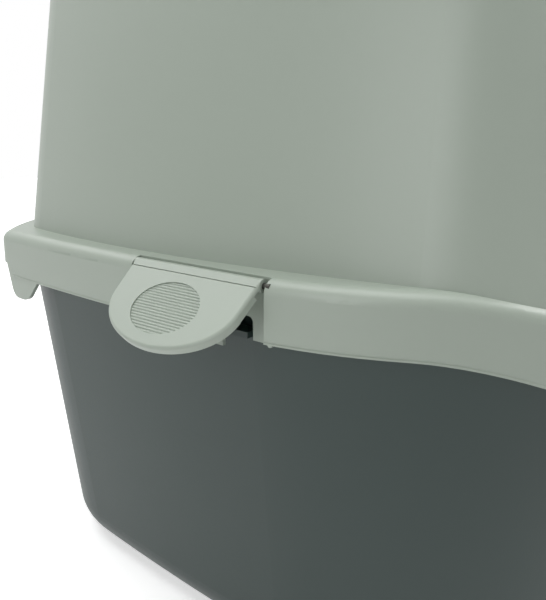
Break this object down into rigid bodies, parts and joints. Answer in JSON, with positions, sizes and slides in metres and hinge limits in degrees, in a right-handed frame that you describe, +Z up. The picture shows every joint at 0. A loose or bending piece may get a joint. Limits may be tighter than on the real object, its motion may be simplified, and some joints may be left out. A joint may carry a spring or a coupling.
{
  "type": "covered litter box",
  "caption": "Covered litter box: drafted tray under a rimmed hood held by side latches, with a swinging entrance flap, a folding roof handle and a vented roof filter.",
  "frame": {"origin": "on the floor under the middle of the box", "axes": "+Z up, entrance towards -Y, latches on the X sides"},
  "size_m": [0.4936, 0.5144, 0.4575],
  "materials": {
    "sage_plastic": "satin",
    "dark_plastic": "satin",
    "dark_trim": "satin",
    "smoke_panel": "clear smoke",
    "steel": "brushed",
    "magnet": "coated",
    "carbon": "felted",
    "foot_rubber": "matt"
  },
  "bodies": {
    "tray_base": {"foot_front_left": "foot_rubber", "foot_front_right": "foot_rubber", "foot_rear_left": "foot_rubber", "foot_rear_right": "foot_rubber", "tray": "dark_plastic"},
    "latch_left_arm": {"latch_left": "sage_plastic"},
    "latch_right_arm": {"latch_right": "sage_plastic"},
    "flap": {"door_flap": "smoke_panel", "flap_magnet": "magnet"},
    "handle": {"carry_handle": "dark_trim"},
    "vent_cover": {"filter_cover": "dark_trim"},
    "hood_shell": {"carbon_pad": "carbon", "door_frame": "dark_trim", "filter_cassette": "dark_trim", "filter_cover_pin": "steel", "flap_axle": "steel", "handle_pin_left": "steel", "handle_pin_right": "steel", "hood": "sage_plastic", "keeper_plate": "steel", "latch_pin_left": "steel", "latch_pin_right": "steel"}
  },
  "joints": [
    {"name": "hood_tilt", "type": "hinge", "parent": "tray_base", "child": "hood_shell", "pos_m": [0, 0.257, 0.195], "axis": [-1, 0, 0], "range_deg": [0, 70]},
    {"name": "latch_left_lift", "type": "hinge", "parent": "hood_shell", "child": "latch_left_arm", "pos_m": [-0.2112, -0.0505, 0.2345], "axis": [-0.0188, 0.9998, 0], "range_deg": [0, 50]},
    {"name": "latch_right_lift", "type": "hinge", "parent": "hood_shell", "child": "latch_right_arm", "pos_m": [0.2112, -0.0505, 0.2345], "axis": [-0.0188, -0.9998, 0], "range_deg": [0, 50]},
    {"name": "flap_swing", "type": "hinge", "parent": "hood_shell", "child": "flap", "pos_m": [0, -0.2355, 0.37862], "axis": [1, 0, 0], "range_deg": [-80, 80]},
    {"name": "handle_fold", "type": "hinge", "parent": "hood_shell", "child": "handle", "pos_m": [0, 0.021, 0.4425], "axis": [-1, 0, 0], "range_deg": [0, 90]},
    {"name": "cover_open", "type": "hinge", "parent": "hood_shell", "child": "vent_cover", "pos_m": [0, 0.14401, 0.4547], "axis": [-1, 0, 0], "range_deg": [0, 110]}
  ]
}
